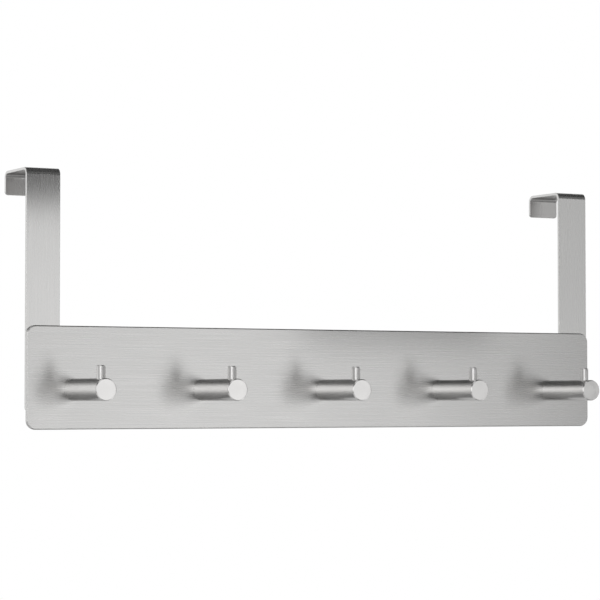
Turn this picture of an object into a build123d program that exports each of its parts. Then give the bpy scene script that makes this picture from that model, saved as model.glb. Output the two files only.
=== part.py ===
"""Over door hook rail: a flat steel plate carried by two bent straps, with five round pegs."""

import os

from build123d import *

# Frame
# X runs along the rail from its middle, Y runs into the door from the door's front face,
# and Z runs up from the door's top edge. All lengths are millimetres.

# Door straps: flat strip, bent over the door's top and down behind it
door_gap = 38.0
strap_width = 25.5
strap_thickness = 2.0
strap_bend_radius = 3.0
strap_lip_reach = 15.0
strap_corner_radius = 2.5
strap_edge_break = 0.3
strap_end_margin = 13.0

# Rail plate: its outline is set out from the row of pegs
plate_thickness = 2.0
plate_drop = 108.5
plate_top_margin = 44.8
plate_bottom_margin = 27.8
plate_end_margin = 35.8
plate_corner_radius = 7.0
plate_edge_round = 0.8

# Pegs: solid round bar, cut to length and chamfered
peg_count = 5
peg_spacing = 100.0
peg_diameter = 15.5
peg_length = 55.5
peg_chamfer = 0.5

# Retaining pins: pressed upright into the pegs near their front ends
pin_diameter = 6.0
pin_height = 9.0
pin_setback = 9.0
pin_socket_depth = 6.0
pin_chamfer = 0.6
pin_press_clearance = 0.01

# Peg screws: countersunk machine screws from behind the plate
screw_diameter = 4.0
screw_head_diameter = 8.4
screw_length = 14.0
screw_socket_width = 2.5
screw_socket_depth = 1.4
screw_seat_clearance = 0.05
screw_thread_clearance = 0.05
screw_shank_clearance = 0.25
screw_tip_clearance = 2.0
thread_lead_in = 0.4

# Places worked out from the sizes above
plate_width = (peg_count - 1) * peg_spacing + 2 * plate_end_margin
plate_height = plate_top_margin + plate_bottom_margin
plate_top = -plate_drop
plate_middle = plate_top - plate_height / 2
plate_back = -strap_thickness
plate_front = plate_back - plate_thickness
peg_axis = plate_top - plate_top_margin
peg_tip = plate_front - peg_length
peg_top = peg_axis + peg_diameter / 2
strap_end = plate_top - plate_height + strap_end_margin
strap_middle = (plate_width - strap_width) / 2
peg_places = [(number - (peg_count - 1) / 2) * peg_spacing for number in range(peg_count)]
countersink_angle = 90

os.makedirs("parts", exist_ok=True)


def facing_door(x, y):
    """Plane on a peg's axis that looks towards the door, for what is drilled from behind."""
    return Plane(origin=(x, y, peg_axis), x_dir=(1, 0, 0), z_dir=(0, 1, 0))


def facing_front(x, y):
    """Plane on a peg's axis that looks away from the door, the way the pegs point."""
    return Plane(origin=(x, y, peg_axis), x_dir=(1, 0, 0), z_dir=(0, -1, 0))


def save(piece, name):
    """Label a finished piece and write it as its own file."""
    piece.part.label = name
    export_step(piece.part, f"parts/{name}.step")


# Rail plate: a blank with rounded corners, softened round its front and countersunk behind each peg
with BuildPart() as rail_plate:
    with BuildSketch(Plane(origin=(0, plate_back, plate_middle), x_dir=(1, 0, 0), z_dir=(0, -1, 0))):
        RectangleRounded(plate_width, plate_height, plate_corner_radius)
    extrude(amount=plate_thickness)
    front_face = rail_plate.faces().sort_by(Axis.Y)[0]
    fillet(front_face.outer_wire().edges(), radius=plate_edge_round)
    with Locations(*[facing_door(x, plate_back) for x in peg_places]):
        CounterSinkHole(
            radius=screw_diameter / 2 + screw_shank_clearance,
            counter_sink_radius=screw_head_diameter / 2 + screw_seat_clearance,
            counter_sink_angle=countersink_angle,
        )
save(rail_plate, "rail_plate")

# Door straps: the strip's inner line follows the door, and the metal lies outside it. Their outer
# edges are flush with the plate's ends. The end corners are rounded and the rim is deburred.
for side, x in (("left", -strap_middle), ("right", strap_middle)):
    with BuildPart() as door_strap:
        with BuildSketch(Plane.YZ.offset(x)):
            with BuildLine():
                door_line = FilletPolyline(
                    (0, strap_end),
                    (0, 0),
                    (door_gap, 0),
                    (door_gap, -strap_lip_reach),
                    radius=strap_bend_radius,
                )
                offset(door_line, amount=strap_thickness, side=Side.LEFT)
            make_face()
        extrude(amount=strap_width / 2, both=True)
        end_corners = door_strap.edges().filter_by(Axis.Y).group_by(SortBy.LENGTH)[0]
        fillet(end_corners, radius=strap_corner_radius)
        corner_lines = door_strap.edges().filter_by(Axis.Y).group_by(SortBy.LENGTH)[0]
        bend_lines = door_strap.edges().filter_by(Axis.X).group_by(SortBy.LENGTH)[-1]
        chamfer(door_strap.edges() - corner_lines - bend_lines, length=strap_edge_break)
    save(door_strap, f"{side}_door_strap")

# Pegs: round bar with a chamfered front, a tapped hole in its base and a pin socket on top
thread_radius = screw_diameter / 2 + screw_thread_clearance
head_radius_at_peg = screw_head_diameter / 2 - plate_thickness + screw_seat_clearance
thread_mouth_radius = max(thread_radius + thread_lead_in, head_radius_at_peg)
for number, x in enumerate(peg_places, start=1):
    with BuildPart() as peg:
        with BuildSketch(facing_front(x, plate_front)):
            Circle(peg_diameter / 2)
        extrude(amount=peg_length)
        front_edge = peg.edges().filter_by(GeomType.CIRCLE).sort_by(Axis.Y)[0]
        chamfer(front_edge, length=peg_chamfer)
        with Locations(facing_door(x, plate_front)):
            CounterSinkHole(
                radius=thread_radius,
                counter_sink_radius=thread_mouth_radius,
                depth=screw_length - plate_thickness + screw_tip_clearance,
                counter_sink_angle=countersink_angle,
            )
        with Locations((x, peg_tip + pin_setback, peg_top)):
            Hole(radius=pin_diameter / 2 + pin_press_clearance, depth=pin_socket_depth)
    save(peg, f"peg_{number}")

# Retaining pins: each stands on the bottom of its socket and has a chamfered top
for number, x in enumerate(peg_places, start=1):
    with BuildPart() as peg_pin:
        with BuildSketch(Plane(origin=(x, peg_tip + pin_setback, peg_top - pin_socket_depth))):
            Circle(pin_diameter / 2)
        extrude(amount=pin_socket_depth + pin_height)
        chamfer(peg_pin.edges().sort_by(Axis.Z)[-1], length=pin_chamfer)
    save(peg_pin, f"peg_pin_{number}")

# Peg screws: turned heads with a hexagon socket, flush with the plate's back
head_depth = (screw_head_diameter - screw_diameter) / 2
with BuildPart() as peg_screws:
    for x in peg_places:
        with BuildSketch(Plane(origin=(x, plate_back, peg_axis))):
            with BuildLine():
                Polyline(
                    (0, 0),
                    (screw_head_diameter / 2, 0),
                    (screw_diameter / 2, -head_depth),
                    (screw_diameter / 2, -screw_length),
                    (0, -screw_length),
                    close=True,
                )
            make_face()
        revolve(axis=Axis((x, plate_back, peg_axis), (0, 1, 0)))
        with BuildSketch(facing_door(x, plate_back)):
            RegularPolygon(radius=screw_socket_width / 2, side_count=6, major_radius=False)
        extrude(amount=-screw_socket_depth, mode=Mode.SUBTRACT)
save(peg_screws, "peg_screws")
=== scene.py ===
# %% [markdown]
# # An over door hook rail in brushed stainless steel
#
# The rail is sheet and bar: a flat plate, two straps bent over the top of a door, five turned
# pegs with a small upright pin each, and five screws that hold the pegs from behind. All of it
# is bare steel, so nearly everything that the eye sees is a reflection. This lesson spends its
# effort on true edges, on the direction of the brush lines and on what the metal reflects.
#
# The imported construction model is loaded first. It is the fixed frame: every piece below takes
# its place and its main sizes from it.

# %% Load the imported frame
import math

import bmesh
import bpy
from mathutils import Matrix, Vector


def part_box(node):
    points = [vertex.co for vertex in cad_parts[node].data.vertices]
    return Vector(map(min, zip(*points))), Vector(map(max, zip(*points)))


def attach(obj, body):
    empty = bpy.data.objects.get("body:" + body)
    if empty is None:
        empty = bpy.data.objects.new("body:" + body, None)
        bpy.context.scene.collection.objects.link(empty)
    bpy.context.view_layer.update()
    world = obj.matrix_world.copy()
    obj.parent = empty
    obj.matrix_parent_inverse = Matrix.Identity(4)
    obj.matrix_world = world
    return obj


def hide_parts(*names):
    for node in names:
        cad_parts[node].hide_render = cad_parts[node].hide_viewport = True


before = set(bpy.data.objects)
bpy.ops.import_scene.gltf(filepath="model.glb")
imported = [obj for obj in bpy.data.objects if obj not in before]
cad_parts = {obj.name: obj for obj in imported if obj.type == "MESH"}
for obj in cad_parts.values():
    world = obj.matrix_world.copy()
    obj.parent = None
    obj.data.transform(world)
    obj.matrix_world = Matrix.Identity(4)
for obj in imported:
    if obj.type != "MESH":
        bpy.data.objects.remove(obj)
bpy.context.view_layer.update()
print("frame nodes:", len(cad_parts))

# %% [markdown]
# ## Sizes that come from the frame
#
# Blender works in metres and the rail is thought of in millimetres, so one constant turns one
# into the other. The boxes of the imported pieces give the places: the plate's face, the pegs'
# spacing and how far they stand out.

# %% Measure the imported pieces
MM = 0.001
peg_count = 5

plate_low, plate_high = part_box("rail_plate")
plate_width = plate_high.x - plate_low.x
plate_height = plate_high.z - plate_low.z
plate_thickness = plate_high.y - plate_low.y
plate_front = plate_low.y
plate_back = plate_high.y

first_peg_low, first_peg_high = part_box("peg_1")
last_peg_low, last_peg_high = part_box(f"peg_{peg_count}")
peg_radius = (first_peg_high.z - first_peg_low.z) / 2
peg_length = first_peg_high.y - first_peg_low.y
peg_axis = (first_peg_high.z + first_peg_low.z) / 2
first_peg_x = (first_peg_low.x + first_peg_high.x) / 2
last_peg_x = (last_peg_low.x + last_peg_high.x) / 2
peg_spacing = (last_peg_x - first_peg_x) / (peg_count - 1)

print(f"plate {plate_width / MM:.1f} x {plate_height / MM:.1f} x {plate_thickness / MM:.1f} mm")
print(f"pegs {2 * peg_radius / MM:.1f} x {peg_length / MM:.1f} mm, {peg_spacing / MM:.1f} mm apart")

# %% [markdown]
# ## Two small helpers for nodes
#
# Shaders and Geometry Nodes are both trees of nodes. One function adds a node, sets its own
# options, and fills its inputs either with a value or with a link from another node. Colours are
# written as sRGB hex, the way a colour picker shows them, and turned into the linear numbers that
# the renderer works with.


# %% Node and colour helpers
def add_node(tree, kind, inputs=None, **options):
    """Add one node, set its options, and fill its inputs with values or with links."""
    node = tree.nodes.new(kind)
    for name, value in options.items():
        setattr(node, name, value)
    for socket, value in (inputs or {}).items():
        if isinstance(value, bpy.types.NodeSocket):
            tree.links.new(value, node.inputs[socket])
        else:
            node.inputs[socket].default_value = value
    return node


def linear_colour(hex_text):
    """Turn an sRGB hex colour into linear red, green, blue and alpha."""
    channels = [int(hex_text[start:start + 2], 16) / 255 for start in (1, 3, 5)]
    linear = [c / 12.92 if c <= 0.04045 else ((c + 0.055) / 1.055) ** 2.4 for c in channels]
    return (*linear, 1.0)


print("mid grey in linear light:", round(linear_colour("#808080")[0], 3))

# %% [markdown]
# ## Brushed stainless steel
#
# The real metal is most likely grade 304 sheet, drawn under an abrasive belt that leaves fine
# parallel lines. Along the lines it is almost a mirror, and across them the reflection is smeared.
# That is anisotropy, and it is why brushed steel shows soft streaks instead of clear pictures.
#
# Each mesh carries two vertex attributes: `grain_along` says which way the lines run at that spot,
# and `grain_place` says where the spot lies along and across them, in metres. Attributes follow a
# bend or a turned face, where plain object coordinates would cut through it.
#
# Belt lines are about 0.05 mm apart. That is far finer than a pixel here, so they are drawn
# several times coarser, as bundles of lines.


# %% The brushed steel recipe
def brushed_steel(name, dark, light, roughness, anisotropy, line_spacing, line_length, relief):
    """Stainless steel with lines along its grain: spacing, length and relief are in metres."""
    line_detail = 3.0
    line_unevenness = 0.6
    faint_line = 0.25
    strong_line = 0.75
    quarter_turn = 0.25
    material = bpy.data.materials.new(name)
    material.use_nodes = True
    tree = material.node_tree
    tree.nodes.clear()
    place = add_node(tree, "ShaderNodeAttribute", attribute_name="grain_place")
    along = add_node(tree, "ShaderNodeAttribute", attribute_name="grain_along")
    stretched = add_node(tree, "ShaderNodeMapping", {
        "Vector": place.outputs["Vector"],
        "Scale": (1 / line_length, 1 / line_spacing, 1 / line_spacing),
    })
    lines = add_node(tree, "ShaderNodeTexNoise", {
        "Vector": stretched.outputs["Vector"],
        "Scale": 1.0,
        "Detail": line_detail,
        "Roughness": line_unevenness,
    })
    colour = add_node(tree, "ShaderNodeMix", {
        "Factor": lines.outputs["Fac"],
        "A": linear_colour(dark),
        "B": linear_colour(light),
    }, data_type="RGBA")
    rough = add_node(tree, "ShaderNodeMapRange", {
        "Value": lines.outputs["Fac"],
        "From Min": faint_line,
        "From Max": strong_line,
        "To Min": roughness[0],
        "To Max": roughness[1],
    })
    bump = add_node(tree, "ShaderNodeBump", {
        "Height": lines.outputs["Fac"],
        "Strength": 1.0,
        "Distance": relief,
    })
    # The tangent runs along the lines, and a quarter turn lays the smear across them.
    steel = add_node(tree, "ShaderNodeBsdfPrincipled", {
        "Base Color": colour.outputs["Result"],
        "Metallic": 1.0,
        "Roughness": rough.outputs["Result"],
        "Anisotropic": anisotropy,
        "Anisotropic Rotation": quarter_turn,
        "Tangent": along.outputs["Vector"],
        "Normal": bump.outputs["Normal"],
    })
    add_node(tree, "ShaderNodeOutputMaterial", {"Surface": steel.outputs["BSDF"]})
    return material


# %% [markdown]
# ## Six finishes of one steel
#
# The same recipe serves every piece, with other numbers. Strip is often brushed on one side only.
# Here the straps' inner side, which lies on the door, keeps the duller face that the rolling mill
# left, and its darker colour is painted shade under the hook; it shows on the lips and above them.

# %% Mix the finishes
# Sheet under a belt: long lines, tall soft streaks and a satin sheen.
plate_steel = brushed_steel(
    "brushed_stainless_plate", dark="#CBCAC9", light="#D5D5D4", roughness=(0.25, 0.31),
    anisotropy=0.7, line_spacing=0.5 * MM, line_length=60 * MM, relief=0.002 * MM,
)
# Strip under the same belt: the same satin, a little glossier.
strap_steel = brushed_steel(
    "brushed_stainless_strap", dark="#CBCAC9", light="#D5D5D4", roughness=(0.23, 0.29),
    anisotropy=0.7, line_spacing=0.5 * MM, line_length=50 * MM, relief=0.002 * MM,
)
# The strip's rolled inner side: faint and wider lines, and a darker colour that is painted shade under
# the hook.
inner_steel_with_painted_shade = brushed_steel(
    "rolled_stainless_strap", dark="#BDBCBB", light="#C6C5C4", roughness=(0.26, 0.32),
    anisotropy=0.5, line_spacing=0.8 * MM, line_length=30 * MM, relief=0.001 * MM,
)
# Bar from the lathe: brighter and closer to a mirror, with fine rings.
peg_steel = brushed_steel(
    "turned_stainless_bar", dark="#D0CFCE", light="#DBDAD9", roughness=(0.2, 0.26),
    anisotropy=0.5, line_spacing=0.4 * MM, line_length=40 * MM, relief=0.001 * MM,
)
# Ground pins: pale and even, with hardly a line to see.
pin_steel = brushed_steel(
    "ground_stainless_pin", dark="#D4D3D2", light="#DEDDDC", roughness=(0.36, 0.42),
    anisotropy=0.3, line_spacing=0.3 * MM, line_length=20 * MM, relief=0.0005 * MM,
)
# Screw heads from the lathe: a darker grey, with plain rings.
screw_steel = brushed_steel(
    "turned_stainless_screw", dark="#BDBCBB", light="#CBCAC9", roughness=(0.24, 0.32),
    anisotropy=0.4, line_spacing=0.3 * MM, line_length=20 * MM, relief=0.001 * MM,
)
print("finishes:", [finish.name for finish in bpy.data.materials if "stainless" in finish.name])

# %% [markdown]
# ## Helpers for finished meshes
#
# A modifier or a node tree is only a recipe until it is evaluated. `settle` keeps the evaluated
# mesh and throws the recipe away, because the export wants plain meshes. `polish` is for metal:
# it shades round stretches smooth, keeps true edges sharp, and lets wide flat faces decide the
# normals, so that a flat face next to a small rounding still reflects as a flat face.


# %% Mesh helpers
def new_piece(name, mesh):
    """Put a mesh into the scene as an object that sits at the origin."""
    piece = bpy.data.objects.new(name, mesh)
    bpy.context.scene.collection.objects.link(piece)
    return piece


def settle(piece):
    """Replace a piece's mesh by what its modifiers make of it."""
    depsgraph = bpy.context.evaluated_depsgraph_get()
    shaped = piece.evaluated_get(depsgraph)
    mesh = bpy.data.meshes.new_from_object(shaped, preserve_all_data_layers=True, depsgraph=depsgraph)
    piece.modifiers.clear()
    piece.data = mesh
    mesh.name = piece.name


def polish(piece):
    """Close doubles, turn the faces outwards and give the metal clean normals."""
    merge_distance = 0.001 * MM
    crease_angle = math.radians(30)
    shell = bmesh.new()
    shell.from_mesh(piece.data)
    bmesh.ops.remove_doubles(shell, verts=shell.verts, dist=merge_distance)
    bmesh.ops.recalc_face_normals(shell, faces=shell.faces)
    shell.to_mesh(piece.data)
    shell.free()
    piece.data.shade_smooth()
    piece.data.set_sharp_from_angle(angle=crease_angle)
    weighted = piece.modifiers.new("flat_faces_lead", "WEIGHTED_NORMAL")
    weighted.keep_sharp = True
    settle(piece)


def store_grain(mesh, grain_of):
    """Store the grain's place and direction on each vertex, from a rule on its position."""
    place = mesh.attributes.new("grain_place", "FLOAT_VECTOR", "POINT")
    along = mesh.attributes.new("grain_along", "FLOAT_VECTOR", "POINT")
    for vertex in mesh.vertices:
        place.data[vertex.index].vector, along.data[vertex.index].vector = grain_of(vertex.co)


# %% [markdown]
# ## A sheet blank
#
# Plate and straps start alike: a flat blank with rounded corners, cut from 2 mm sheet, with its
# rims broken so that they don't cut a hand. A bevel on a box would do, but a rounded rectangle
# inside a rounded rectangle is only a smaller radius, so the rim can be built exactly: rings of
# points are stacked from the back face, round the two rims, to the front face, and joined.


# %% Build a blank from rings
def rounded_outline(length, width, radius, steps):
    """Points round a rectangle with rounded corners, anticlockwise about the origin."""
    points = []
    for quarter, (along, across) in enumerate(((1, 1), (-1, 1), (-1, -1), (1, -1))):
        for step in range(steps + 1):
            angle = (quarter + step / steps) * math.pi / 2
            points.append((
                along * (length / 2 - radius) + radius * math.cos(angle),
                across * (width / 2 - radius) + radius * math.sin(angle),
            ))
    return points


def sheet_blank(length, width, thickness, corner, back_round, front_round):
    """A flat blank as a mesh in progress: x along it, y across it, z from back to front."""
    corner_steps = 16
    rim_steps = 6
    quarter = math.pi / 2
    rim_angles = [quarter * step / rim_steps for step in range(rim_steps + 1)]
    rings = [(back_round * (1 - math.sin(a)), back_round * (1 - math.cos(a))) for a in rim_angles]
    rings += [
        (front_round * (1 - math.cos(a)), thickness - front_round * (1 - math.sin(a)))
        for a in rim_angles
    ]
    blank = bmesh.new()
    loops = []
    for inset, depth in rings:
        outline = rounded_outline(length - 2 * inset, width - 2 * inset, corner - inset, corner_steps)
        loops.append([blank.verts.new((x, y, depth)) for x, y in outline])
    for lower, upper in zip(loops, loops[1:]):
        for here in range(len(lower)):
            following = (here + 1) % len(lower)
            blank.faces.new((lower[here], lower[following], upper[following], upper[here]))
    blank.faces.new(list(reversed(loops[0])))
    blank.faces.new(loops[-1])
    return blank


# %% [markdown]
# ## Turned parts in rows
#
# Pegs, pins and screws are all turned on a lathe and all come in a row of five. One Geometry
# Nodes tree is the lathe and the row together. It takes half of the part's section as an open
# line, rounds its corners, sweeps it round a circle, closes the seams, turns the axis the right
# way, and repeats the part at the peg spacing. The sections are short lists of (radius, height)
# that run from the top of the axis, round the outside, to the bottom of the axis, which makes the
# faces look outwards.


# %% The lathe and row tree
def lathe_row_tree():
    """A tree that turns a half section round an axis and repeats the part in a row."""
    seam_distance = 0.002 * MM
    tree = bpy.data.node_groups.new("lathe_row", "GeometryNodeTree")
    for name, kind in (
        ("Half Section", "NodeSocketObject"),
        ("Sides", "NodeSocketInt"),
        ("Edge Round", "NodeSocketFloat"),
        ("Edge Steps", "NodeSocketInt"),
        ("Axis Turn", "NodeSocketRotation"),
        ("First Place", "NodeSocketVector"),
        ("Step", "NodeSocketVector"),
        ("Count", "NodeSocketInt"),
        ("Finish", "NodeSocketMaterial"),
    ):
        tree.interface.new_socket(name, in_out="INPUT", socket_type=kind)
    tree.interface.new_socket("Row", in_out="OUTPUT", socket_type="NodeSocketGeometry")
    given = add_node(tree, "NodeGroupInput").outputs
    section = add_node(tree, "GeometryNodeObjectInfo", {"Object": given["Half Section"]})
    line = add_node(tree, "GeometryNodeMeshToCurve", {"Mesh": section.outputs["Geometry"]})
    rounded = add_node(tree, "GeometryNodeFilletCurve", {
        "Curve": line.outputs["Curve"],
        "Count": given["Edge Steps"],
        "Radius": given["Edge Round"],
        "Limit Radius": True,
    }, mode="POLY")
    # The sweep measures a section from its circle, with y downwards, so it is moved and flipped.
    circle_radius = 1.0
    at_circle = add_node(tree, "GeometryNodeTransform", {
        "Geometry": rounded.outputs["Curve"],
        "Translation": (-circle_radius, 0.0, 0.0),
        "Scale": (1.0, -1.0, 1.0),
    })
    circle = add_node(tree, "GeometryNodeCurvePrimitiveCircle", {
        "Resolution": given["Sides"],
        "Radius": circle_radius,
    })
    swept = add_node(tree, "GeometryNodeCurveToMesh", {
        "Curve": circle.outputs["Curve"],
        "Profile Curve": at_circle.outputs["Geometry"],
    })
    closed = add_node(tree, "GeometryNodeMergeByDistance", {
        "Geometry": swept.outputs["Mesh"],
        "Distance": seam_distance,
    })
    turned = add_node(tree, "GeometryNodeTransform", {
        "Geometry": closed.outputs["Geometry"],
        "Rotation": given["Axis Turn"],
    })
    places = add_node(tree, "GeometryNodeMeshLine", {
        "Count": given["Count"],
        "Start Location": given["First Place"],
        "Offset": given["Step"],
    })
    row = add_node(tree, "GeometryNodeInstanceOnPoints", {
        "Points": places.outputs["Mesh"],
        "Instance": turned.outputs["Geometry"],
    })
    real = add_node(tree, "GeometryNodeRealizeInstances", {"Geometry": row.outputs["Instances"]})
    painted = add_node(tree, "GeometryNodeSetMaterial", {
        "Geometry": real.outputs["Geometry"],
        "Material": given["Finish"],
    })
    add_node(tree, "NodeGroupOutput", {"Row": painted.outputs["Geometry"]})
    return tree


lathe_row = lathe_row_tree()
print("lathe tree has", len(lathe_row.nodes), "nodes")

# %% [markdown]
# ## Running the lathe
#
# A modifier runs the tree. Its inputs are set by the sockets' identifiers before the piece is
# evaluated for the first time, and the result is kept as a plain mesh. Rows of holes are made
# with the same tree: it turns a row of cutters, and a boolean takes them out of a piece. Cutters
# keep their edges sharp, and the faces that they leave take the cutter's finish.

# %% Turn a row of parts or cutters
TOWARDS_FRONT = (math.pi / 2, 0.0, 0.0)
TOWARDS_DOOR = (-math.pi / 2, 0.0, 0.0)
UPRIGHT = (0.0, 0.0, 0.0)
SHARP = 0.0


def turned_row(name, section, axis_turn, first_place, finish, sides, edge_round):
    """Make a row of turned parts, one at each peg, and return it as a plain piece."""
    edge_steps = 4
    outline = bpy.data.meshes.new("half_section")
    edges = [(start, start + 1) for start in range(len(section) - 1)]
    outline.from_pydata([(radius, height, 0.0) for radius, height in section], edges, [])
    half_section = new_piece("half_section", outline)
    piece = new_piece(name, bpy.data.meshes.new(name))
    modifier = piece.modifiers.new("lathe_row", "NODES")
    modifier.node_group = lathe_row
    values = {
        "Half Section": half_section,
        "Sides": sides,
        "Edge Round": edge_round,
        "Edge Steps": edge_steps,
        "Axis Turn": axis_turn,
        "First Place": first_place,
        "Step": (peg_spacing, 0.0, 0.0),
        "Count": peg_count,
        "Finish": finish,
    }
    for socket in lathe_row.interface.items_tree:
        if socket.in_out == "INPUT":
            modifier[socket.identifier] = values[socket.name]
    settle(piece)
    bpy.data.objects.remove(half_section)
    return piece


def cut_row(piece, name, section, axis_turn, first_place, finish, sides):
    """Turn a row of cutters, take them out of a piece and remove them."""
    cutters = turned_row(name, section, axis_turn, first_place, finish, sides, SHARP)
    boolean = piece.modifiers.new("cut", "BOOLEAN")
    boolean.operation = "DIFFERENCE"
    boolean.solver = "EXACT"
    boolean.object = cutters
    settle(piece)
    bpy.data.objects.remove(cutters)


# %% [markdown]
# ## The rail plate
#
# A 2 mm plate, 472 mm long, brushed along its length. Its front rim is rounded, its back rim only
# deburred. Behind each peg it is countersunk for a screw, so the back shows five flush screw
# heads. The countersinks are cut by a row of cutters from the lathe tree. The plate gets its
# finish after the cut, all faces at once, so these cutters have none.

# %% Make the rail plate
plate_corner = 7 * MM
plate_front_round = 0.8 * MM
deburr = 0.15 * MM
screw_head_radius = 4.2 * MM
screw_radius = 2 * MM
seat_clearance = 0.05 * MM
shank_clearance = 0.25 * MM
overshoot = 1 * MM

blank = sheet_blank(
    plate_width, plate_height, plate_thickness, plate_corner, deburr, plate_front_round
)
plate_middle = Vector(((plate_low.x + plate_high.x) / 2, 0.0, (plate_low.z + plate_high.z) / 2))
for vertex in blank.verts:
    x, z, depth = vertex.co
    vertex.co = plate_middle + Vector((x, plate_back - depth, z))
plate_mesh = bpy.data.meshes.new("brushed_rail_plate")
blank.to_mesh(plate_mesh)
blank.free()
rail_plate = new_piece("brushed_rail_plate", plate_mesh)

seat_radius = screw_head_radius + seat_clearance
hole_radius = screw_radius + shank_clearance
countersink = [
    (0.0, overshoot),
    (seat_radius + overshoot, overshoot),
    (hole_radius, hole_radius - seat_radius),
    (hole_radius, -plate_thickness - overshoot),
    (0.0, -plate_thickness - overshoot),
]
screw_start = (first_peg_x, plate_back, peg_axis)
cut_row(rail_plate, "countersinks", countersink, TOWARDS_DOOR, screw_start, None, sides=64)
rail_plate.data.materials.append(plate_steel)
polish(rail_plate)
store_grain(rail_plate.data, lambda co: ((co.x, co.z, co.y), (1.0, 0.0, 0.0)))
print("rail plate:", len(rail_plate.data.polygons), "faces")

# %% [markdown]
# ## The door straps
#
# Each strap is a strip that goes up from behind the plate, over the door and down behind it. The
# shop cuts a flat blank and bends it twice over a bar, and the code does the same: the blank is
# sliced across where it will bend, and each point is then carried along the bent line. That line
# has five runs: the leg, a bend, the bridge over the door, a second bend, and the lip.

# %% Follow the door
strap_bend = 3 * MM


def follow_door(distance, runs, door_gap):
    """Find the bend centre (y, z), the turn and the straight rest at a distance along the strip."""
    leg, quarter_bend, bridge, _, _ = runs
    front = strap_bend
    back = door_gap - strap_bend
    under = -strap_bend
    if distance <= leg:
        return front, under, 0.0, distance - leg
    distance -= leg
    if distance <= quarter_bend:
        return front, under, distance / strap_bend, 0.0
    distance -= quarter_bend
    if distance <= bridge:
        return front, under, math.pi / 2, distance
    distance -= bridge
    if distance <= quarter_bend:
        return back, under, math.pi / 2 + distance / strap_bend, 0.0
    return back, under, math.pi, distance - quarter_bend


def slice_bend(strip, start, length):
    """Cut a flat strip across where it will bend, so that it has points to bend at."""
    bend_slices = 14
    for number in range(bend_slices + 1):
        station = (start + length * number / bend_slices, 0.0, 0.0)
        geometry = strip.verts[:] + strip.edges[:] + strip.faces[:]
        bmesh.ops.bisect_plane(strip, geom=geometry, plane_co=station, plane_no=(1.0, 0.0, 0.0))


def bend_strip(strip, runs, door_gap, middle):
    """Carry each point of a flat strip along the bent line, with the grain that it has when flat."""
    place = strip.verts.layers.float_vector.new("grain_place")
    along = strip.verts.layers.float_vector.new("grain_along")
    for vertex in strip.verts:
        distance, across, depth = vertex.co
        vertex[place] = vertex.co
        centre_y, centre_z, turn, rest = follow_door(distance, runs, door_gap)
        outward = Vector((0.0, -math.cos(turn), math.sin(turn)))
        forward = Vector((0.0, math.sin(turn), math.cos(turn)))
        vertex[along] = forward
        centre = Vector((middle - across, centre_y, centre_z))
        vertex.co = centre + outward * (strap_bend + depth) + forward * rest


# %% [markdown]
# The brush lines are stored on the flat blank, so they follow the bends as they do on the real
# strip. The blank's back becomes the inner side, so its faces get the rolled finish, darkened as
# painted shade, while it is still flat.

# %% Bend the two straps
strap_lip_reach = 15 * MM
strap_corner = 2.5 * MM
strap_rim = 0.3 * MM
back_depth = 0.001 * MM
inner_side = 1


def bent_strap(name, node):
    """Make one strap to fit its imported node, as a flat blank bent over the door."""
    low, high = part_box(node)
    thickness = high.z
    door_gap = high.y - thickness
    width = high.x - low.x
    quarter_bend = strap_bend * math.pi / 2
    leg = -low.z - strap_bend
    bridge = door_gap - 2 * strap_bend
    lip = strap_lip_reach - strap_bend
    runs = (leg, quarter_bend, bridge, quarter_bend, lip)
    strip_length = sum(runs)
    strip = sheet_blank(strip_length, width, thickness, strap_corner, strap_rim, strap_rim)
    bmesh.ops.translate(strip, verts=strip.verts, vec=(strip_length / 2, 0.0, 0.0))
    slice_bend(strip, leg, quarter_bend)
    slice_bend(strip, leg + quarter_bend + bridge, quarter_bend)
    # The back faces take the inner finish, whose darker colour is painted shade under the hook.
    for face in strip.faces:
        if max(vertex.co.z for vertex in face.verts) < back_depth:
            face.material_index = inner_side
    bend_strip(strip, runs, door_gap, (low.x + high.x) / 2)
    mesh = bpy.data.meshes.new(name)
    strip.to_mesh(mesh)
    strip.free()
    mesh.materials.append(strap_steel)
    mesh.materials.append(inner_steel_with_painted_shade)
    piece = new_piece(name, mesh)
    polish(piece)
    return piece


left_strap = bent_strap("bent_left_strap", "left_door_strap")
right_strap = bent_strap("bent_right_strap", "right_door_strap")
print("straps:", len(left_strap.data.polygons), "faces each")

# %% [markdown]
# ## The pegs
#
# A peg is a length of round bar with a chamfered front, a tapped hole in its base and a socket on
# top for its pin. It is one section for the lathe tree, and the sockets are cut by a row of
# upright cutters from the same tree. The tree also breaks every turned edge a little.

# %% Turn the pegs
pin_low, pin_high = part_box("peg_pin_1")
pin_y = (pin_low.y + pin_high.y) / 2
pin_start = (first_peg_x, pin_y, pin_low.z)
pin_length = pin_high.z - pin_low.z
pin_radius = 3 * MM
press_clearance = 0.01 * MM
peg_chamfer = 0.5 * MM
thread_radius = 2.05 * MM
thread_mouth = 2.45 * MM
thread_depth = 14 * MM
turned_edge = 0.2 * MM

peg_section = [
    (0.0, peg_length),
    (peg_radius - peg_chamfer, peg_length),
    (peg_radius, peg_length - peg_chamfer),
    (peg_radius, 0.0),
    (thread_mouth, 0.0),
    (thread_radius, thread_mouth - thread_radius),
    (thread_radius, thread_depth),
    (0.0, thread_depth),
]
socket_radius = pin_radius + press_clearance
pin_socket = [
    (0.0, pin_length),
    (socket_radius, pin_length),
    (socket_radius, 0.0),
    (0.0, 0.0),
]
peg_start = (first_peg_x, plate_front, peg_axis)
pegs = turned_row(
    "turned_pegs", peg_section, TOWARDS_FRONT, peg_start, peg_steel,
    sides=128, edge_round=turned_edge,
)
cut_row(pegs, "pin_sockets", pin_socket, UPRIGHT, pin_start, peg_steel, sides=48)
polish(pegs)
print("pegs:", len(pegs.data.polygons), "faces")

# %% [markdown]
# ## Pins and screws
#
# A pin is a short dowel, pressed in upright near the peg's front so that a hanger can't slide off.
# A screw has a flat countersunk head with a hexagon socket. To the lathe tree, a hexagon is a
# turned part with six sides.

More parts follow.
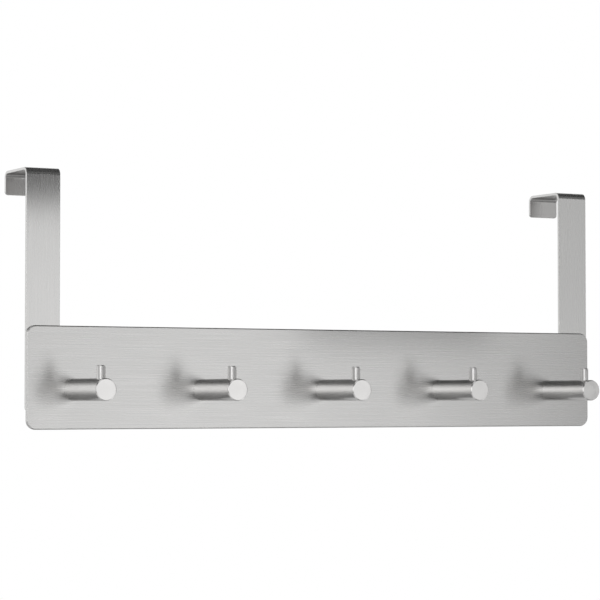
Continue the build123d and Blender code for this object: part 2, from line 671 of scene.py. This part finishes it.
# %% Turn the pins and the screws
pin_chamfer = 0.6 * MM
screw_length = 14 * MM
screw_edge = 0.1 * MM
hexagon_width = 2.5 * MM
hexagon_depth = 1.4 * MM

pin_section = [
    (0.0, pin_length),
    (pin_radius - pin_chamfer, pin_length),
    (pin_radius, pin_length - pin_chamfer),
    (pin_radius, 0.0),
    (0.0, 0.0),
]
pins = turned_row(
    "ground_pins", pin_section, UPRIGHT, pin_start, pin_steel,
    sides=64, edge_round=turned_edge,
)
polish(pins)

screw_section = [
    (0.0, 0.0),
    (screw_head_radius, 0.0),
    (screw_radius, screw_radius - screw_head_radius),
    (screw_radius, -screw_length),
    (0.0, -screw_length),
]
hexagon_corner = hexagon_width / math.sqrt(3)
hexagon_socket = [
    (0.0, overshoot),
    (hexagon_corner, overshoot),
    (hexagon_corner, -hexagon_depth),
    (0.0, -hexagon_depth),
]
screws = turned_row(
    "peg_screw_heads", screw_section, TOWARDS_DOOR, screw_start, screw_steel,
    sides=64, edge_round=screw_edge,
)
cut_row(screws, "hexagon_sockets", hexagon_socket, TOWARDS_DOOR, screw_start, screw_steel, sides=6)
polish(screws)
print("pins:", len(pins.data.polygons), "faces, screws:", len(screws.data.polygons), "faces")

# %% [markdown]
# ## Turning lines
#
# A lathe leaves its lines in circles round the axis, on the side of the bar and on its end face
# alike. For each vertex the rule below finds the nearest axis in the row, and gives the circle's
# direction as the grain. The place across the lines is the height minus the radius, which runs on
# without a break from the side, over the chamfer, to the end face.


# %% Store the turning lines
def turning_lines(axis, start):
    """The grain rule for a row of turned parts with this axis and first place."""
    axis = Vector(axis)

    def grain_of(co):
        number = round((co.x - start[0]) / peg_spacing)
        offset = co - Vector(start) - Vector((number * peg_spacing, 0.0, 0.0))
        height = offset.dot(axis)
        radial = offset - axis * height
        return (0.0, height - radial.length, 0.0), axis.cross(radial).normalized()

    return grain_of


store_grain(pegs.data, turning_lines((0, -1, 0), peg_start))
store_grain(pins.data, turning_lines((0, 0, 1), pin_start))
store_grain(screws.data, turning_lines((0, 1, 0), screw_start))
print("turning lines stored on", [piece.name for piece in (pegs, pins, screws)])

# %% [markdown]
# ## The studio
#
# Steel has no colour of its own to speak of, so the studio is half of the picture. A photographer
# would hang the rail before a white backdrop, stand one softbox beside the camera, a low one to the
# right of it and a small one straight in front of the rail, hang one overhead, and lay pale boards
# on the floor at both sides. The wall on the right is a mid grey. The rest of the room, and the
# floor right in front, go dark. That darkness draws the lines along the pegs and under the bends.
#
# Here the world is that room. It reads the direction of a ray and nothing else: its azimuth from
# straight in front of the rail, positive to the right, and its elevation, both in degrees, and its
# share rightward and backward, from -1 to 1. Each light is a patch of directions with soft edges.


# %% Directions and patches
def ray_direction(tree):
    """The azimuth and elevation of a ray in degrees, and its share rightward and backward."""
    direction = add_node(tree, "ShaderNodeTexCoord").outputs["Generated"]
    parts = add_node(tree, "ShaderNodeSeparateXYZ", {"Vector": direction}).outputs
    rightward = parts["X"]
    backward = parts["Y"]
    forward = add_node(tree, "ShaderNodeMath", {0: backward, 1: -1.0}, operation="MULTIPLY")
    turn = add_node(tree, "ShaderNodeMath", {
        0: rightward,
        1: forward.outputs["Value"],
    }, operation="ARCTAN2")
    azimuth = add_node(tree, "ShaderNodeMath", {0: turn.outputs["Value"]}, operation="DEGREES")
    rise = add_node(tree, "ShaderNodeMath", {0: parts["Z"]}, operation="ARCSINE")
    elevation = add_node(tree, "ShaderNodeMath", {0: rise.outputs["Value"]}, operation="DEGREES")
    return azimuth.outputs["Value"], elevation.outputs["Value"], rightward, backward


def patch(tree, *edges):
    """A patch of directions: each edge is an angle or a share, its middle and the reach of its fade."""
    inside = 1.0
    for measure, middle, reach in edges:
        # A negative reach turns the fade round, so that it falls where it would rise.
        edge = add_node(tree, "ShaderNodeMapRange", {
            "Value": measure,
            "From Min": middle - reach,
            "From Max": middle + reach,
        }, interpolation_type="SMOOTHSTEP")
        both = add_node(tree, "ShaderNodeMath", {
            0: edge.outputs["Result"],
            1: inside,
        }, operation="MULTIPLY")
        inside = both.outputs["Value"]
    return inside


# %% [markdown]
# The backdrop behind the rail is a patch too, and the metal shows it. The camera sees plain white
# all round, because a strength of 1 is white.


# %% Light the studio
def room_light(tree):
    """The level of the dark room with its lights, and the patch of the backdrop."""
    wall_level = 0.16
    ceiling_level = 0.03
    azimuth, elevation, rightward, backward = ray_direction(tree)
    camera_box = patch(
        tree, (azimuth, -62, 16), (azimuth, -13, -6), (elevation, -9, 4), (elevation, 26, -7)
    )
    low_box = patch(
        tree, (azimuth, 15, 6), (azimuth, 35, -6), (elevation, -17, 8), (elevation, 9, -3)
    )
    front_box = patch(
        tree, (azimuth, -9, 5), (azimuth, 7, -5), (elevation, -9, 5), (elevation, 9, -5)
    )
    overhead_box = patch(tree, (rightward, 0.05, -0.15), (elevation, 52, 10))
    right_wall = patch(tree, (azimuth, 60, 20), (elevation, 37, -10))
    # The boards keep out of the narrow cones to the front and the back that the pegs show.
    past_cones = ((backward, -0.73, 0.06), (backward, 0.73, -0.06))
    left_board = patch(tree, (rightward, -0.05, -0.15), (elevation, -22, -7), *past_cones)
    right_board = patch(tree, (rightward, 0.72, 0.1), (elevation, -22, -7), *past_cones)
    backdrop = patch(tree, (backward, 0.1, 0.15), (elevation, -16, 6), (elevation, 32, -12))
    below_ceiling = patch(tree, (elevation, 37, -10))
    level = ceiling_level
    for inside, added in (
        (below_ceiling, wall_level - ceiling_level), (right_wall, 0.4),
        (camera_box, 1.9), (low_box, 1.28), (front_box, 0.7), (overhead_box, 0.9),
        (left_board, 0.6), (right_board, 0.6),
    ):
        lit = add_node(tree, "ShaderNodeMath", {0: inside, 1: added, 2: level}, operation="MULTIPLY_ADD")
        level = lit.outputs["Value"]
    return level, backdrop


def studio_world():
    """A dark room with softboxes, pale boards and a white backdrop behind the rail."""
    white_level = 1.0
    world = bpy.data.worlds.new("studio")
    world.use_nodes = True
    tree = world.node_tree
    tree.nodes.clear()
    level, backdrop = room_light(tree)
    room = add_node(tree, "ShaderNodeMix", {
        "Factor": backdrop,
        "A": level,
        "B": white_level,
    }, data_type="FLOAT")
    path = add_node(tree, "ShaderNodeLightPath").outputs
    in_metal = add_node(tree, "ShaderNodeMath", {
        0: path["Is Glossy Ray"],
        1: path["Is Transmission Ray"],
    }, operation="ADD")
    shown = add_node(tree, "ShaderNodeMath", {
        0: in_metal.outputs["Value"],
        1: backdrop,
    }, operation="MULTIPLY")
    white = add_node(tree, "ShaderNodeMath", {
        0: path["Is Camera Ray"],
        1: shown.outputs["Value"],
    }, operation="MAXIMUM")
    strength = add_node(tree, "ShaderNodeMix", {
        "Factor": white.outputs["Value"],
        "A": room.outputs["Result"],
        "B": white_level,
    }, data_type="FLOAT")
    background = add_node(tree, "ShaderNodeBackground", {
        "Color": linear_colour("#FFFFFF"),
        "Strength": strength.outputs["Result"],
    })
    add_node(tree, "ShaderNodeOutputWorld", {"Surface": background.outputs["Background"]})
    return world


bpy.context.scene.world = studio_world()
bpy.context.scene.view_settings.view_transform = "Standard"
print("studio world:", len(bpy.context.scene.world.node_tree.nodes), "nodes")

# %% [markdown]
# ## The floor
#
# The rail hangs on a door, so the floor is far below it and out of the picture, but other views
# look down on it. It is a round sheet of matt white board. For the camera it glows a little, and
# more towards its rim, so that it runs out into the white studio without an edge. The glow isn't
# sampled as a lamp, because the board lights nothing that is in the picture. The steel doesn't
# show the floor, and the floor keeps no light from it: what the steel reflects from below is the
# dark room with its boards.

# %% Lay the floor
floor_drop = 1.1
floor_radius = 1.7
floor_sides = 96


def white_board():
    """Matt white board that glows for the camera, from half in the middle to full at the rim."""
    glow_in_middle = 0.5
    material = bpy.data.materials.new("matt_white_board")
    material.use_nodes = True
    material.cycles.emission_sampling = "NONE"
    tree = material.node_tree
    tree.nodes.clear()
    from_middle = add_node(tree, "ShaderNodeVectorMath", {
        0: add_node(tree, "ShaderNodeTexCoord").outputs["Object"],
        1: (0.0, 0.0, -floor_drop),
    }, operation="DISTANCE")
    fade = add_node(tree, "ShaderNodeMapRange", {
        "Value": from_middle.outputs["Value"],
        "From Max": floor_radius,
        "To Min": glow_in_middle,
    }, interpolation_type="SMOOTHSTEP")
    glowing = add_node(tree, "ShaderNodeMath", {
        0: fade.outputs["Result"],
        1: add_node(tree, "ShaderNodeLightPath").outputs["Is Camera Ray"],
    }, operation="MULTIPLY")
    board = add_node(tree, "ShaderNodeBsdfDiffuse", {"Color": linear_colour("#F4F4F2")})
    glow = add_node(tree, "ShaderNodeEmission", {"Color": linear_colour("#FFFFFF")})
    look = add_node(tree, "ShaderNodeMixShader", {
        0: glowing.outputs["Value"],
        1: board.outputs["BSDF"],
        2: glow.outputs["Emission"],
    })
    add_node(tree, "ShaderNodeOutputMaterial", {"Surface": look.outputs["Shader"]})
    return material


floor_shell = bmesh.new()
bmesh.ops.create_circle(floor_shell, cap_ends=True, segments=floor_sides, radius=floor_radius)
bmesh.ops.translate(floor_shell, verts=floor_shell.verts, vec=(0.0, 0.0, -floor_drop))
floor_mesh = bpy.data.meshes.new("floor")
floor_shell.to_mesh(floor_mesh)
floor_shell.free()
floor_mesh.materials.append(white_board())
floor = new_piece("floor", floor_mesh)
floor.visible_glossy = False
floor.visible_shadow = False
print(f"floor {2 * floor_radius:.1f} m across, {floor_drop:.1f} m below the door's top edge")

# %% [markdown]
# ## Two flags
#
# Photographers call a small black card a flag. One hangs in front of the rail's left end and keeps
# the light out of the top of that strap, which fades to dark there. The other takes a little light
# off the plate's upper edge, right of the middle. The camera doesn't see the flags, only the steel
# does.

# %% Hang the flags
flag_card = bpy.data.materials.new("matt_black_card")
flag_card.use_nodes = True
flag_tree = flag_card.node_tree
flag_tree.nodes.clear()
flag_black = add_node(flag_tree, "ShaderNodeBsdfDiffuse", {"Color": linear_colour("#1A1A1A")})
add_node(flag_tree, "ShaderNodeOutputMaterial", {"Surface": flag_black.outputs["BSDF"]})


def hang_flag(name, left, right, low, high, away):
    """Hang an upright black card, with its place in millimetres, this far in front of the door."""
    mesh = bpy.data.meshes.new(name)
    corners = ((left, low), (right, low), (right, high), (left, high))
    mesh.from_pydata([(x * MM, -away * MM, z * MM) for x, z in corners], [], [(0, 1, 2, 3)])
    mesh.materials.append(flag_card)
    flag = new_piece(name, mesh)
    flag.visible_camera = False
    print(f"{name}: {right - left} x {high - low} mm, {away} mm in front of the door")


hang_flag("strap_flag", left=-208, right=-48, low=2, high=130, away=280)
hang_flag("plate_flag", left=87, right=265, low=-98, high=62, away=200)

# %% [markdown]
# ## The camera
#
# The photograph was taken from the left with a long lens, from a little below the door's top edge.
# The place and the turn were worked out from the plate's edges, the pegs' ends and the straps.

# %% Set the camera
camera_place = Vector((-848.8, -1546.0, -158.4)) * MM
camera_tilt_up = math.radians(2.336)
camera_turn_right = math.radians(28.23)
level_view = math.pi / 2

camera_data = bpy.data.cameras.new("camera")
camera_data.sensor_width = 36.0
camera_data.lens = 142.8
camera = bpy.data.objects.new("camera", camera_data)
bpy.context.scene.collection.objects.link(camera)
camera.location = camera_place
camera.rotation_euler = (level_view + camera_tilt_up, 0.0, -camera_turn_right)
bpy.context.scene.camera = camera
print(f"camera {camera.location.length:.2f} m away, with a {camera_data.lens:.0f} mm lens")

# %% [markdown]
# ## Hand the pieces over
#
# Each piece rides on the rail's one body, and the imported pieces that it replaces are hidden.

# %% Replace the imported pieces
peg_numbers = range(1, peg_count + 1)
for piece, slot, nodes in (
    (rail_plate, "plate_steel", ["rail_plate"]),
    (left_strap, "strap_steel", ["left_door_strap"]),
    (right_strap, "strap_steel", ["right_door_strap"]),
    (pegs, "peg_steel", [f"peg_{number}" for number in peg_numbers]),
    (pins, "pin_steel", [f"peg_pin_{number}" for number in peg_numbers]),
    (screws, "screw_steel", ["peg_screws"]),
):
    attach(piece, "root")
    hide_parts(*nodes)
    print(f"{piece.name} stands for {len(nodes)} of the packed pieces")
